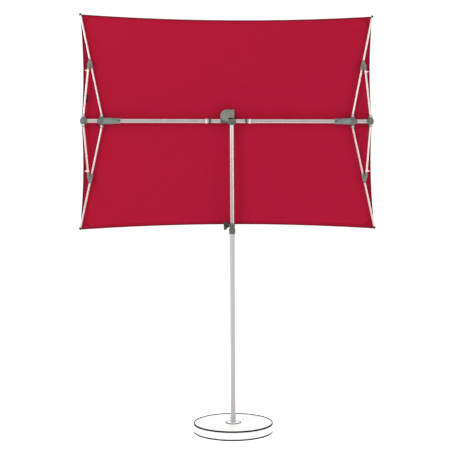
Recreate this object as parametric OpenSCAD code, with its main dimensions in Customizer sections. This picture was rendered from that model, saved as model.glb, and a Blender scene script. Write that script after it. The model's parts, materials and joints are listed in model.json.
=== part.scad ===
// Rectangular balcony parasol: weighted base, two-part pole, tilting spine with
// sliding runners, four ribs, four struts and a stretched roof.
// Millimetres, +Z up, +Y behind the roof, origin under the base on the pole axis.

/* [Base] */
// Diameter of the base slab
base_d = 566; // [460:2:680]
// Height of the base without its rim bead, pad included
base_h = 60; // [56:1:90]
// Diameter of the ring round the pole's foot
socket_ring_d = 107; // [90:1:140]

/* [Pole] */
// Outside diameter of the lower pole
pole_d = 37; // [35:0.5:40]
// Outside diameter of the mast that slides in it
mast_d = 30; // [28:0.5:31]
// Height of the bottom of the clamp collar
clamp_z = 1408; // [1380:1:1415]
// Height of the clamp knob's axis
knob_z = 1469; // [1466:1:1472]
// Diameter of the clamp knob
knob_d = 62; // [44:1:64]

/* [Head] */
// Height of the spine's axis, which is also the tilt axis
spine_z = 2230; // [2180:1:2300]
// Distance of the spine's axis behind the pole's axis
spine_y = 25; // [24:0.5:26]
// Offset of the spine's middle from the pole's axis
spine_x = -25; // [-28:1:-22]
// Outside diameter of the spine
spine_d = 31; // [28:0.5:31]

/* [Roof] */
// Half the width of the roof, corner to corner
roof_half_w = 1072; // [1068:1:1076]
// Half the width of the roof at the spine's ends
roof_mid_w = 1061; // [1056:1:1064]
// Half the height of the roof, corner to corner
roof_half_h = 783; // [768:1:796]
// How far the long edges curve in at their middle
long_edge_sag = 35; // [10:1:60]
// How far each half of a short edge curves in, between a corner and the spine
short_edge_sag = 18; // [8:1:22]
// Distance of the roof behind the spine's axis
roof_y = 26; // [25.5:0.5:30]
// Thickness of the roof cloth with its seams
roof_t = 2; // [1:0.5:3]

/* [Ribs and struts] */
// Distance of the rib pivots from the spine's middle
runner_u = 914; // [906:1:918]
// Distance of the rib pivots above and below the spine's axis
rib_pivot_z = 40; // [38:1:42]
// Distance of the strut pivots from the spine's middle
hub_u = 1043; // [1039:1:1043]
// Distance of the strut pivots above and below the spine's axis
strut_pivot_z = 33; // [32:1:35]
// Distance along a rib from its pivot to the strut's pin
yoke_along = 379; // [365:1:395]
// Distance of the strut's pin outside the rib's axis
yoke_out = 15; // [13:1:17]
// Outside diameter of the ribs and struts
rib_d = 14; // [12:0.5:14]

/* [Hidden] */
$fn = 48;
CORNERS = [["upper_left", -1, 1], ["lower_left", -1, -1], ["upper_right", 1, 1], ["lower_right", 1, -1]];
SIDES = [["left", -1], ["right", 1]];
CORNER_NODES = ["rib_", "yoke_", "corner_cap_", "strut_", "strut_tip_", "strut_hook_"];
SIDE_NODES = ["end_hub_", "runner_", "grip_", "rib_pins_", "release_button_"];
BASE_NODES = ["base_pad", "base_slab", "base_rim", "socket_tube", "socket_ring"];
POLE_NODES = ["pole_lower", "pole_foot_plug", "pole_bush", "clamp_collar", "clamp_rivet", "clamp_knob",
              "clamp_screw"];
MAST_NODES = ["mast_upper", "mast_guide", "pole_head"];
HEAD_NODES = ["hub_front", "hub_back", "hub_screws", "tilt_button", "spine_tube", "spine_collars",
              "stop_rings", "end_caps", "strut_pins", "tie_strap", "canopy"];

silver = [0.69, 0.68, 0.69];
plastic = [0.53, 0.56, 0.53];
dark = [0.2, 0.2, 0.22];
fit = 0.05;
wall = 1.2;

pad_h = 10;
rim_w = 6;
rim_rise = 6;
rim_seat = 5;
ring_w = 4;
socket_wall = 6;
flange_h = 3.5;
base_r = base_d / 2;
ring_r = socket_ring_d / 2;
pole_r = pole_d / 2;
pole_bore = pole_r - wall;
mast_r = mast_d / 2;
pole_bottom = pad_h + socket_wall + 0.5;
pole_top = clamp_z + 38;
collar_top = knob_z + 15;
mast_bottom = 1050;
knob_r = knob_d / 2;
knob_x = -39;
screw_r = 4;
rivet_r = 3.5;

spine_r = spine_d / 2;
barrel_r = 20.5;
barrel_x0 = -22;
barrel_x1 = 24;
column_top = -34;
dome_r = 46;
dome_x = -35;
hub_top = 82;
dome_z = hub_top - dome_r;
hub_right = 20;
hub_left = -80;
sleeve_x1 = barrel_x0 - 2;
sleeve_r = 17.5;
hub_bottom = -21;
shell = 3;
hub_front_y = -24;
hub_back_y = 22;
crown_r = 150;
cover_x = -36;
cover_z = 29;
cover_r = 33;
groove = 1.5;
button_z = 39;
button_h = 9;

rib_r = rib_d / 2;
rib_y = rib_r + 1.5;
pin_r = 3;
head_r = 7;
eye_r = 9;
eye_half = rib_r - 0.5;
tip_inset = 3;
rib_dx = roof_half_w - tip_inset - runner_u;
rib_dz = roof_half_h - rib_pivot_z;
rib_len = sqrt(rib_dx * rib_dx + rib_dz * rib_dz);
rib_angle = atan2(rib_dz, rib_dx);
pin_u = runner_u + yoke_along * cos(rib_angle) + yoke_out * sin(rib_angle);
pin_z = rib_pivot_z + yoke_along * sin(rib_angle) - yoke_out * cos(rib_angle);
strut_dx = pin_u - hub_u;
strut_dz = pin_z - strut_pivot_z;
strut_len = sqrt(strut_dx * strut_dx + strut_dz * strut_dz);
strut_angle = atan2(strut_dz, strut_dx);

// Placing helpers

module at_spine() translate([spine_x, spine_y, spine_z]) children();

// A shape drawn for the upper right corner, turned into any of the four
module at_corner(c) {
    at_spine() {
        if (c[1] > 0 && c[2] > 0) children();
        if (c[1] < 0 && c[2] > 0) mirror([1, 0, 0]) children();
        if (c[1] > 0 && c[2] < 0) mirror([0, 0, 1]) children();
        if (c[1] < 0 && c[2] < 0) rotate([0, 180, 0]) children();
    }
}

// A shape drawn for the right side, mirrored for the left
module at_side(s) {
    at_spine() {
        if (s[1] > 0) children();
        if (s[1] < 0) mirror([1, 0, 0]) children();
    }
}

// Local +X runs along the rib from its pivot, local -Z points outward
module on_rib() translate([runner_u, 0, rib_pivot_z]) rotate([0, -rib_angle, 0]) children();

// Local +X runs along the strut from its pivot at the end hub
module on_strut() translate([hub_u, 0, strut_pivot_z]) rotate([0, -strut_angle, 0]) children();

module rod_x(x0, x1, r) translate([x0, 0, 0]) rotate([0, 90, 0]) cylinder(h = x1 - x0, r = r);

module rod_y(y0, y1, r) translate([0, y0, 0]) rotate([-90, 0, 0]) cylinder(h = y1 - y0, r = r);

module cone_x(x0, x1, r0, r1) {
    translate([x0, 0, 0]) rotate([0, 90, 0]) cylinder(h = x1 - x0, r1 = r0, r2 = r1);
}

module tube_x(x0, x1, r, bore) {
    difference() {
        rod_x(x0, x1, r);
        rod_x(x0 - 1, x1 + 1, bore);
    }
}

module tube_z(z0, z1, r, bore) {
    difference() {
        translate([0, 0, z0]) cylinder(h = z1 - z0, r = r);
        translate([0, 0, z0 - 1]) cylinder(h = z1 - z0 + 2, r = bore);
    }
}

// Pivot pin from y0 to y1 with a dished head in front of y0
module pin(y0, y1) {
    rod_y(y0, y1, pin_r);
    difference() {
        rod_y(y0 - 1.5, y0, head_r);
        rod_y(y0 - 2, y0 - 0.7, pin_r);
    }
}

// Plate in the X-Z plane from y0 to y1
module plate_y(y0, y1) translate([0, y1, 0]) rotate([90, 0, 0]) linear_extrude(y1 - y0) children();

// Base

module base_pad() {
    color(dark) cylinder(h = pad_h, r = base_r - 1, $fn = 96);
}

module base_slab() {
    color("white") difference() {
        union() {
            translate([0, 0, pad_h]) cylinder(h = base_h - pad_h - rim_seat, r = base_r, $fn = 96);
            translate([0, 0, pad_h]) cylinder(h = base_h - pad_h, r = base_r - rim_w, $fn = 96);
        }
        translate([0, 0, pad_h - 1]) cylinder(h = base_h, r = pole_r + socket_wall);
    }
}

module base_rim() {
    rim_r = rim_w / 2;
    rim_h = rim_seat + rim_rise;
    color(dark) rotate_extrude($fn = 96) translate([base_r - rim_w, base_h - rim_seat]) {
        square([rim_w, rim_h - rim_r]);
        translate([rim_r, rim_h - rim_r]) circle(r = rim_r, $fn = 24);
    }
}

module socket_tube() {
    color("white") difference() {
        union() {
            translate([0, 0, pad_h]) cylinder(h = base_h - pad_h, r = pole_r + socket_wall);
            translate([0, 0, base_h]) cylinder(h = flange_h, r = ring_r - ring_w);
        }
        translate([0, 0, pole_bottom - 0.5]) cylinder(h = base_h, r = pole_r + fit);
    }
}

module socket_ring() {
    color(dark) tube_z(base_h, base_h + flange_h + 0.5, ring_r, ring_r - ring_w);
}

// Pole, clamp and knob

module pole_lower() {
    color(silver) tube_z(pole_bottom, pole_top, pole_r, pole_bore);
}

module pole_foot_plug() {
    color(dark) difference() {
        translate([0, 0, pole_bottom]) cylinder(h = 40, r = pole_bore);
        translate([0, 0, pole_bottom + 3]) cylinder(h = 40, r = pole_bore - 3);
    }
}

module pole_bush() {
    color(dark) tube_z(pole_top - 60, pole_top, pole_bore, mast_r + fit);
}

module clamp_collar() {
    flute_count = 12;
    flute_r = 1.9;
    shoulder_r = pole_r + 5.5;
    color(plastic) difference() {
        union() {
            translate([0, 0, clamp_z]) cylinder(h = 36, r1 = pole_r + 2.5, r2 = shoulder_r);
            translate([0, 0, clamp_z + 36]) cylinder(h = 5, r1 = shoulder_r, r2 = mast_r + 4);
            translate([0, 0, clamp_z + 41]) cylinder(h = collar_top - clamp_z - 43, r = mast_r + 4);
            translate([0, 0, collar_top - 2]) cylinder(h = 2, r1 = mast_r + 4, r2 = mast_r + 2.5);
            translate([0, 0, knob_z]) rod_x(knob_x + 14, -mast_r, 11);
        }
        translate([0, 0, clamp_z - 1]) cylinder(h = pole_top - clamp_z + 1, r = pole_r);
        translate([0, 0, clamp_z]) cylinder(h = 100, r = mast_r + fit);
        translate([0, 0, knob_z]) rod_x(knob_x, 0, screw_r + fit);
        translate([0, 0, knob_z]) rod_x(mast_r + 1, mast_r + 10, rivet_r);
        translate([-1, 0, collar_top - 28]) cube([2, mast_r + 10, 40]);
        for (i = [0 : flute_count - 1]) {
            rotate([0, 0, 360 / flute_count * (i + 0.5)])
                translate([shoulder_r + 0.4, 0, clamp_z + 4])
                    rotate([0, -5, 0]) cylinder(h = 24, r = flute_r, $fn = 16);
        }
    }
}

module clamp_rivet() {
    color(silver) translate([0, 0, knob_z]) {
        rod_x(mast_r + 1, mast_r + 8, rivet_r);
        cone_x(mast_r + 8, mast_r + 9.5, rivet_r, rivet_r - 1.3);
    }
}

module clamp_knob() {
    lobes = 6;
    color(dark) translate([0, 0, knob_z]) difference() {
        union() {
            rod_x(knob_x - 19, knob_x - 3, knob_r);
            cone_x(knob_x - 22, knob_x - 19, knob_r - 4, knob_r);
            cone_x(knob_x - 3, knob_x, knob_r, knob_r - 5);
            cone_x(knob_x, knob_x + 13.5, knob_r - 9, 10);
        }
        for (i = [0 : lobes - 1]) {
            rotate([360 / lobes * (i + 0.5), 0, 0])
                translate([0, 0, knob_r + 5]) rod_x(knob_x - 30, knob_x, 10);
        }
        rod_x(knob_x - 12, knob_x + 20, screw_r);
    }
}

module clamp_screw() {
    color(silver) translate([0, 0, knob_z]) rod_x(knob_x - 12, -mast_r - 0.2, screw_r);
}

// Mast and pole head

module mast_upper() {
    color(silver) tube_z(mast_bottom, spine_z + column_top, mast_r, mast_r - wall);
}

module mast_guide() {
    color(dark) difference() {
        union() {
            translate([0, 0, mast_bottom - 6]) cylinder(h = 6, r = pole_bore - fit);
            translate([0, 0, mast_bottom]) cylinder(h = 30, r = mast_r - wall);
        }
        translate([0, 0, mast_bottom - 7]) cylinder(h = 50, r = mast_r - wall - 2.5);
    }
}

// Plug in the mast, a neck that leans back, and the barrel the spine turns in
module pole_head() {
    neck_r = mast_r + 2;
    neck = [[-spine_y - neck_r, column_top], [-spine_y - neck_r, column_top + 7], [-barrel_r - 0.7, -25],
            [-barrel_r, 0], [barrel_r, 0], [spine_r, -13], [neck_r - spine_y, column_top]];
    color(plastic) difference() {
        union() {
            translate([0, 0, spine_z + column_top - 50]) cylinder(h = 51, r = mast_r - wall);
            intersection() {
                translate([barrel_x1, spine_y, spine_z]) rotate([90, 0, -90])
                    linear_extrude(barrel_x1 - barrel_x0) polygon([for (p = neck) [-p[0], p[1]]]);
                union() {
                    translate([0, 0, spine_z + column_top - 1])
                        cylinder(h = 16, r1 = neck_r, r2 = barrel_x1 + 4);
                    translate([-50, -60, spine_z + column_top + 15]) cube([100, 120, 60]);
                    translate([-neck_r, 0, spine_z - 60]) cube([2 * neck_r, 60, 60]);
                }
            }
            translate([0, spine_y, spine_z]) rod_x(barrel_x0, barrel_x1, barrel_r);
        }
        translate([0, spine_y, spine_z]) rod_x(barrel_x0 - 1, barrel_x1 + 1, spine_r + fit);
        translate([0, 0, spine_z + column_top - 51]) cylinder(h = 46, r = mast_r - wall - 3);
    }
}

// Tilt housing, drawn about the spine's axis with X measured from the pole's axis

module hub_outline(inset) {
    intersection() {
        union() {
            translate([dome_x, dome_z]) circle(r = dome_r - inset, $fn = 64);
            translate([dome_x, dome_z]) square([hub_right - dome_x - inset, hub_top - dome_z - inset]);
            translate([dome_x, dome_z - 20]) square([hub_right - dome_x - inset, 30]);
        }
        translate([hub_left + inset, hub_bottom + inset])
            square([hub_right - hub_left - 2 * inset, hub_top - hub_bottom - 2 * inset]);
    }
}

// The barrel's clearance, and the notches beside the tilt button
module hub_cuts() {
    rod_x(barrel_x0 - 0.5, hub_right + 10, barrel_r + 1);
    translate([barrel_x0 - 0.5, -50, -50]) cube([100, 100, 50]);
    translate([barrel_x0 - 0.5, -50, -1]) cube([100, 100, barrel_r + 2]);
    for (z = [button_z + button_h / 2 + 0.4, button_z - button_h / 2 - 3.4]) {
        translate([hub_right - 2, -50, z]) cube([20, 100, 3]);
    }
}

// Shallow ball that crowns the housing's front face
module hub_crown(r) translate([dome_x + 8, hub_front_y + crown_r, dome_z]) sphere(r = r, $fn = 96);

// Ring groove that frames the round cover on the front face
module cover_groove() {
    translate([cover_x, 0, cover_z]) difference() {
        rod_y(hub_front_y - 1, -8, cover_r + groove);
        rod_y(hub_front_y - 2, -7, cover_r);
    }
}

module at_hub_screws() {
    for (p = [[-28, 68], [-14, 68], [-68, 50]]) translate([p[0], 0, p[1]]) children();
}

module button_hole(y0, y1) {
    translate([hub_right - 12.5, y0, button_z - button_h / 2 - 0.4]) cube([20, y1 - y0, button_h + 0.8]);
}

module hub_front() {
    color(plastic) translate([0, spine_y, spine_z]) difference() {
        intersection() {
            plate_y(hub_front_y, 0) hub_outline(0);
            hub_crown(crown_r);
        }
        intersection() {
            plate_y(hub_front_y, 1) hub_outline(shell);
            hub_crown(crown_r - shell);
        }
        difference() {
            cover_groove();
            hub_crown(crown_r - groove);
        }
        hub_cuts();
        rod_x(hub_left - 1, barrel_x0, spine_r);
        rod_x(hub_left - 1, sleeve_x1, sleeve_r + fit);
        button_hole(-10.3, 1);
        at_hub_screws() rod_y(hub_front_y - 1, 0, 2.6);
    }
}

module hub_back() {
    edge = 2;
    color(plastic) translate([0, spine_y, spine_z]) difference() {
        union() {
            plate_y(0, hub_back_y - edge) hub_outline(0);
            plate_y(hub_back_y - edge, hub_back_y) hub_outline(edge);
            at_hub_screws() rod_y(-4, 6, 5);
        }
        difference() {
            plate_y(-1, hub_back_y - 2 * edge) hub_outline(shell);
            at_hub_screws() rod_y(-4, hub_back_y, 5);
        }
        hub_cuts();
        rod_x(hub_left - 1, barrel_x0, spine_r);
        rod_x(hub_left - 1, sleeve_x1, sleeve_r + fit);
        button_hole(-1, 10.3);
        at_hub_screws() rod_y(-6, 14, 2.6);
    }
}

module hub_screws() {
    color(silver) translate([0, spine_y, spine_z]) at_hub_screws() rod_y(hub_front_y + 7, 13, 2.5);
}

module tilt_button() {
    color(dark) translate([0, spine_y, spine_z + button_z]) {
        translate([hub_right - 12, -9.8, -button_h / 2]) cube([17, 19.6, button_h]);
        translate([hub_right - 28, -4, -3]) cube([17, 8, 6]);
    }
}

// Spine

module spine_tube() {
    color(silver) at_spine() tube_x(-hub_u - 16, hub_u + 16, spine_r, spine_r - wall);
}

module spine_collars() {
    color(dark) at_spine() {
        for (side = [-1, 1]) translate([side * 132, 0, 0]) tube_x(-9, 9, spine_r + 1.6, spine_r);
        translate([-spine_x, 0, 0]) {
            tube_x(barrel_x1 + 0.5, barrel_x1 + 6.5, spine_r + 4, spine_r);
            tube_x(hub_left, sleeve_x1, sleeve_r, spine_r);
        }
    }
}

module stop_rings() {
    color("white") at_spine() {
        for (side = [-1, 1]) translate([side * 158, 0, 0]) tube_x(-6, 6, spine_r + 2.4, spine_r);
    }
}

module hub_ear(y0, y1) {
    ear_r = eye_r + 2.5;
    for (up = [-1, 1]) {
        translate([0, 0, up * strut_pivot_z]) rod_y(y0, y1, ear_r);
        plate_y(y0, y1) polygon([[-ear_r - 5, 0], [ear_r + 5, 0],
            [ear_r, up * strut_pivot_z], [-ear_r, up * strut_pivot_z]]);
    }
}

// Socket on the spine's end with a front and a back ear for each strut
module end_hub(s) {
    back = roof_y - 0.1;
    color(plastic) at_side(s) difference() {
        union() {
            tube_x(hub_u - 24, hub_u + 18, spine_r + 4, spine_r);
            cone_x(hub_u - 28, hub_u - 24, spine_r + 2, spine_r + 4);
            translate([hub_u, 0, 0]) {
                hub_ear(-20.5, -16.2);
                hub_ear(-0.8, 4);
                translate([-13, 4, -22]) cube([26, back - 4, 44]);
            }
        }
        rod_x(hub_u - 40, hub_u + 21, spine_r);
        for (up = [-1, 1]) translate([hub_u, 0, up * strut_pivot_z]) rod_y(-30, 40, pin_r);
    }
}

module end_caps() {
    color(dark) at_spine() {
        for (side = [-1, 1]) {
            rod_x(side * (hub_u + 20) - 2, side * (hub_u + 20) + 2, spine_r + 3);
            rod_x(side * (hub_u + 13) - 6, side * (hub_u + 13) + 6, spine_r - wall);
        }
    }
}

module strut_pins() {
    color(silver) at_spine() {
        for (side = [-1, 1], up = [-1, 1]) {
            translate([side * hub_u, 0, up * strut_pivot_z]) {
                pin(-20.5, 4);
            }
        }
    }
}

// Runner with a front and a back ear for each rib

module runner(s) {
    color(plastic) at_side(s) difference() {
        union() {
            rod_x(runner_u - 14, runner_u + 26, spine_r + 4);
            cone_x(runner_u + 26, runner_u + 30, spine_r + 4, spine_r + 1.5);
            for (up = [-1, 1]) {
                for (y = [[-4, 1.1], [16, 20]]) {
                    translate([runner_u, 0, up * rib_pivot_z]) rod_y(y[0], y[1], eye_r + 2);
                    plate_y(y[0], y[1]) polygon([[runner_u - 13, 0], [runner_u + 18, 0],
                        [runner_u + eye_r + 2, up * rib_pivot_z], [runner_u - eye_r - 2, up * rib_pivot_z]]);
                }
            }
        }
        rod_x(runner_u - 40, runner_u + 40, spine_r + fit);
        for (up = [-1, 1]) translate([runner_u, 0, up * rib_pivot_z]) {
            rod_y(-30, 40, pin_r);
            rod_y(1.1, 16, eye_r + 1);
        }
    }
}

module rib_pins(s) {
    color(silver) at_side(s) {
        for (up = [-1, 1]) {
            translate([runner_u, 0, up * rib_pivot_z]) {
                pin(-4, 20);
            }
        }
    }
}

module grip(s) {
    outer = runner_u - 14;
    step = runner_u - 79;
    inner = runner_u - 136;
    color(dark) at_side(s) difference() {
        union() {
            cone_x(inner + 2, step, spine_r + 4.5, spine_r + 5.5);
            cone_x(inner, inner + 2, spine_r + 3, spine_r + 4.5);
            cone_x(step, step + 3, spine_r + 5.5, spine_r + 7);
            cone_x(step + 3, outer, spine_r + 7, spine_r + 8);
        }
        rod_x(inner - 1, outer + 1, spine_r + 0.5);
        for (i = [0 : 4]) translate([inner + 26 + 7 * i, 0, 0]) tube_x(-1, 1, spine_r + 9, spine_r + 4.2);
        translate([inner + 6.7, -40, -5.3]) cube([10.6, 40, 10.6]);
    }
}

module release_button(s) {
    inner = runner_u - 136;
    color("black") at_side(s) translate([inner + 7, -spine_r - 8, -5]) cube([10, 4, 10]);
}

// Ribs

module rib(c) {
    color(silver) at_corner(c) translate([0, rib_y, 0]) on_rib() difference() {
        union() {
            rod_x(eye_r - 4, rib_len - 6, rib_r);
            rod_y(-eye_half, eye_half, eye_r);
        }
        rod_x(eye_r + 3, rib_len, rib_r - wall);
        rod_y(-rib_r - 1, rib_r + 1, pin_r + fit);
    }
}

// Forked bracket: one leg sleeves the rib, the other reaches out to the strut's pin
module yoke(c) {
    outline = [[42, -4], [42, 5], [20, 10.5], [-30, 10.5], [-30, -9.5], [-6, -8], [-22, -12],
               [-22, -yoke_out - 8], [4, -yoke_out - 9], [24, -yoke_out]];
    color(plastic) at_corner(c) on_rib() translate([yoke_along, 0, 0]) difference() {
        plate_y(0.3, 17.5) polygon(outline);
        translate([0, rib_y, 0]) rod_x(-50, 60, rib_r);
    }
}

module corner_cap(c) {
    color(dark) at_corner(c) translate([0, rib_y, 0]) on_rib() difference() {
        union() {
            rod_x(rib_len - 14, rib_len - 2, rib_r + 1.2);
            cone_x(rib_len - 2, rib_len + 2, rib_r + 1.2, rib_r - 1.5);
            translate([rib_len - 12, 0, -5]) cube([10, roof_y - rib_y - 0.4, 10]);
        }
        rod_x(rib_len - 15, rib_len - 6, rib_r);
    }
}

// Struts

module strut(c) {
    color(silver) at_corner(c) translate([0, -rib_y, 0]) on_strut() difference() {
        union() {
            rod_x(eye_r - 4, strut_len - 10, rib_r);
            rod_y(-eye_half, eye_half, eye_r);
        }
        rod_x(eye_r + 3, strut_len, rib_r - wall);
        rod_y(-rib_r - 1, rib_r + 1, pin_r + fit);
    }
}

module strut_tip(c) {
    color(plastic) at_corner(c) translate([0, -rib_y, 0]) on_strut() difference() {
        union() {
            rod_x(strut_len - 34, strut_len - 8, rib_r + 1.2);
            translate([strut_len, 0, 0]) rod_y(-rib_r - 1, rib_r + 1, eye_r + 1);
            translate([strut_len - 10, -rib_r, -7]) cube([10, 2 * rib_r, 14]);
        }
        rod_x(strut_len - 35, strut_len - 10, rib_r);
    }
}

// Pointed hook that a loop at the roof's edge slips over
module strut_hook(c) {
    tip = rib_r + 16;
    color("white") at_corner(c) translate([0, -rib_y, 0]) on_strut()
        translate([strut_len - 45, 0, 0]) difference() {
            union() {
                rod_x(-6.5, 6.5, rib_r + 1);
                plate_y(-3.5, 3.5) polygon([[-6.5, -rib_r], [-1.2, -tip], [1.2, -tip], [6.5, -rib_r]]);
            }
            rod_x(-10, 10, rib_r);
        }
}

// Webbing strap folded round the back of the upper left strut, its tail on the inner side
module tie_strap() {
    strap_x0 = 100;
    strap_x1 = 157;
    strap_t = 1.2;
    color("black") at_corner(CORNERS[0]) translate([0, -rib_y, 0]) on_strut() difference() {
        union() {
            rod_x(strap_x0, strap_x1, rib_r + strap_t);
            translate([strap_x0, rib_r, 0]) cube([strap_x1 - strap_x0, strap_t, 21]);
        }
        rod_x(strap_x0 - 1, strap_x1 + 1, rib_r);
        translate([strap_x0 - 1, -20, -20]) cube([strap_x1 - strap_x0 + 2, 20, 60]);
    }
}

// Roof

function long_edge(t) = [roof_half_w * t, roof_half_h - long_edge_sag * (1 - t * t)];

function short_edge(t) =
    [roof_mid_w + (roof_half_w - roof_mid_w) * abs(t) - 4 * short_edge_sag * abs(t) * (1 - abs(t)),
     roof_half_h * t];

// Rectangle with its long edges bowed inward, and its short ones on each side of the spine
module canopy() {
    n = 20;
    top = [for (i = [0 : n - 1]) long_edge(2 * i / n - 1)];
    right = [for (i = [0 : n - 1]) short_edge(1 - 2 * i / n)];
    outline = concat(top, right, [for (p = top) -p], [for (p = right) -p]);
    color("crimson") at_spine() plate_y(roof_y, roof_y + roof_t) polygon(outline);
}

base_pad();
base_slab();
base_rim();
socket_tube();
socket_ring();
pole_lower();
pole_foot_plug();
pole_bush();
clamp_collar();
clamp_rivet();
clamp_knob();
clamp_screw();
mast_upper();
mast_guide();
pole_head();
hub_front();
hub_back();
hub_screws();
tilt_button();
spine_tube();
spine_collars();
stop_rings();
end_caps();
strut_pins();
tie_strap();
canopy();
for (s = SIDES) {
    end_hub(s);
    runner(s);
    grip(s);
    rib_pins(s);
    release_button(s);
}
for (c = CORNERS) {
    rib(c);
    yoke(c);
    corner_cap(c);
    strut(c);
    strut_tip(c);
    strut_hook(c);
}
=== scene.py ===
"""Rectangular balcony parasol: cloth, fittings, tubes and base, dressed round a fixed frame."""
import sys
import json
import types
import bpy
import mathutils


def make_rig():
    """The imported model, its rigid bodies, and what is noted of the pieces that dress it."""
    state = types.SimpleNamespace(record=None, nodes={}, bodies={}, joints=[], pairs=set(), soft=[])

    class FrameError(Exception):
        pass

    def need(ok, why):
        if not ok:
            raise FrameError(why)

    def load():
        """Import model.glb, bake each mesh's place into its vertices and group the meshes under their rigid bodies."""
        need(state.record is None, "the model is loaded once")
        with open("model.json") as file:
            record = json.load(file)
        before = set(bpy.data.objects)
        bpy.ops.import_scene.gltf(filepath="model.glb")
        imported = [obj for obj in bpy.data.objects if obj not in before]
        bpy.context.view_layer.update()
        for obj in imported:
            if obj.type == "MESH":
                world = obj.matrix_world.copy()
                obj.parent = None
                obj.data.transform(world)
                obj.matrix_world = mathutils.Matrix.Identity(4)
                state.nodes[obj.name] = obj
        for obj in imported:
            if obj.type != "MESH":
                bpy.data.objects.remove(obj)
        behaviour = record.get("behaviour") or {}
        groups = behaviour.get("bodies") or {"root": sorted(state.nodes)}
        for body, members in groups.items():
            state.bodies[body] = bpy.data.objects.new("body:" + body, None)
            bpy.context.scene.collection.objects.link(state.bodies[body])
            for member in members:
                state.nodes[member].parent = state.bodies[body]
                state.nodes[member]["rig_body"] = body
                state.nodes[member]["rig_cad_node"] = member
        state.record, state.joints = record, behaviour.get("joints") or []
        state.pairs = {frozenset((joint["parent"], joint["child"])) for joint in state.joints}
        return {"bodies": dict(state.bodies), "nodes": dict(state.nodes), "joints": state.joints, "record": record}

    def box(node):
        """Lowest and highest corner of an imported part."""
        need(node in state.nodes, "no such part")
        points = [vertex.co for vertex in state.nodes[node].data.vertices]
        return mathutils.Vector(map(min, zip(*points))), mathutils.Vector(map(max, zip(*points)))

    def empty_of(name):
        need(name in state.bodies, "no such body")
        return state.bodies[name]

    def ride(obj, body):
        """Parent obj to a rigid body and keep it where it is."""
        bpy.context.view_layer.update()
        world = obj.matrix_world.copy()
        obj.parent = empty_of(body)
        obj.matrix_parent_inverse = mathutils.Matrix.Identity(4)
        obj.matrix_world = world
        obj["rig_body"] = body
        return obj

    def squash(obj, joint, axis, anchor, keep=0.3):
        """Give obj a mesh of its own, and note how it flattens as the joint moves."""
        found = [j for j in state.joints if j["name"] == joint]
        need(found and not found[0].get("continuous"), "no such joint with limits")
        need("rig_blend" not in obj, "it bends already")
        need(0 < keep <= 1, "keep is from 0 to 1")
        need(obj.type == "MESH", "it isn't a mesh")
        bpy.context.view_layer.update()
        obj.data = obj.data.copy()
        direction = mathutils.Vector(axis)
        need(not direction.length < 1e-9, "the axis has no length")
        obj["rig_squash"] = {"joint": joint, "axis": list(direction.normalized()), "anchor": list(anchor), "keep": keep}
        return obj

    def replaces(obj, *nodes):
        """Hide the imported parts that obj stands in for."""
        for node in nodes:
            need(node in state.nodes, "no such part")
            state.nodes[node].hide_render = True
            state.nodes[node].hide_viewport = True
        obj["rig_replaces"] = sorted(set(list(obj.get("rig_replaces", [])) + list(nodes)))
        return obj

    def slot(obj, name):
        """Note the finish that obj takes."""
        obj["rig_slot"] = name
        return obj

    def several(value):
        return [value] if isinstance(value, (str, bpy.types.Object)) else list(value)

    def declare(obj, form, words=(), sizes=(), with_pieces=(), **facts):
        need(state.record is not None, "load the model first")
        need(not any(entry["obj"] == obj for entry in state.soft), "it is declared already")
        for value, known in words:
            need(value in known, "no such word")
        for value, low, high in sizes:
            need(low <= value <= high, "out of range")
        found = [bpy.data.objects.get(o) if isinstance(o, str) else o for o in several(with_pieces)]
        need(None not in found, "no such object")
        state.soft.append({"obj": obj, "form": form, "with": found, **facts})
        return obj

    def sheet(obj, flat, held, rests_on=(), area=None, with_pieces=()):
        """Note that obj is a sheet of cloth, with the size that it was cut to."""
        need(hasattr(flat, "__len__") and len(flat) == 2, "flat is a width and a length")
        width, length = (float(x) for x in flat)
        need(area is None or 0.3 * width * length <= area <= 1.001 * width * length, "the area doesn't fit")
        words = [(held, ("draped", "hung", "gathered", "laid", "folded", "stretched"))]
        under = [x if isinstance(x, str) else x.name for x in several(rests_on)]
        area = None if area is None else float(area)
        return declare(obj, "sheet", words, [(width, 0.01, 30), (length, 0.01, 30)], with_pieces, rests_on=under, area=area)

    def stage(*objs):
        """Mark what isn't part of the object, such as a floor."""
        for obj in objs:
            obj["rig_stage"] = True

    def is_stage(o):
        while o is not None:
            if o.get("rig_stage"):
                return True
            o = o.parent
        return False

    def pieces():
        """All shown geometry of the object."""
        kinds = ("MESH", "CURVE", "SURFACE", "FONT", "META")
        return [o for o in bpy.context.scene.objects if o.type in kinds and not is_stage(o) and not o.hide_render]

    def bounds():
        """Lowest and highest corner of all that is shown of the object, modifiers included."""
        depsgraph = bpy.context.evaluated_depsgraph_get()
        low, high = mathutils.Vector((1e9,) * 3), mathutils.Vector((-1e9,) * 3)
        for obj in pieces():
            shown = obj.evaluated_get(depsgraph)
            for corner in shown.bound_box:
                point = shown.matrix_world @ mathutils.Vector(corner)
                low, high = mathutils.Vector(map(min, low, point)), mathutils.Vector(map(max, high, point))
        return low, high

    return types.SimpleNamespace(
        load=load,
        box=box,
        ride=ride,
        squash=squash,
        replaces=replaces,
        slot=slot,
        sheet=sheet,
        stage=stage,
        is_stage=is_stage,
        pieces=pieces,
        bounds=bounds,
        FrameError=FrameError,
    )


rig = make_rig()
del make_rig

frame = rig.load()

import json
import math

import bmesh
import bpy
from bpy.props import FloatProperty, FloatVectorProperty, IntProperty, PointerProperty
from mathutils import Matrix, Vector

bl_info = {
    "name": "Balcony parasol",
    "version": (1, 0, 0),
    "blender": (4, 5, 0),
    "location": "View3D > Sidebar > Parasol",
    "description": "Builds the cloth, trim, fittings and finishes of a rectangular balcony parasol",
    "category": "Add Mesh",
}

SIZE_FILE = "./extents.json"
CAD_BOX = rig.bounds()
TAU = 2 * math.pi

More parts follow.
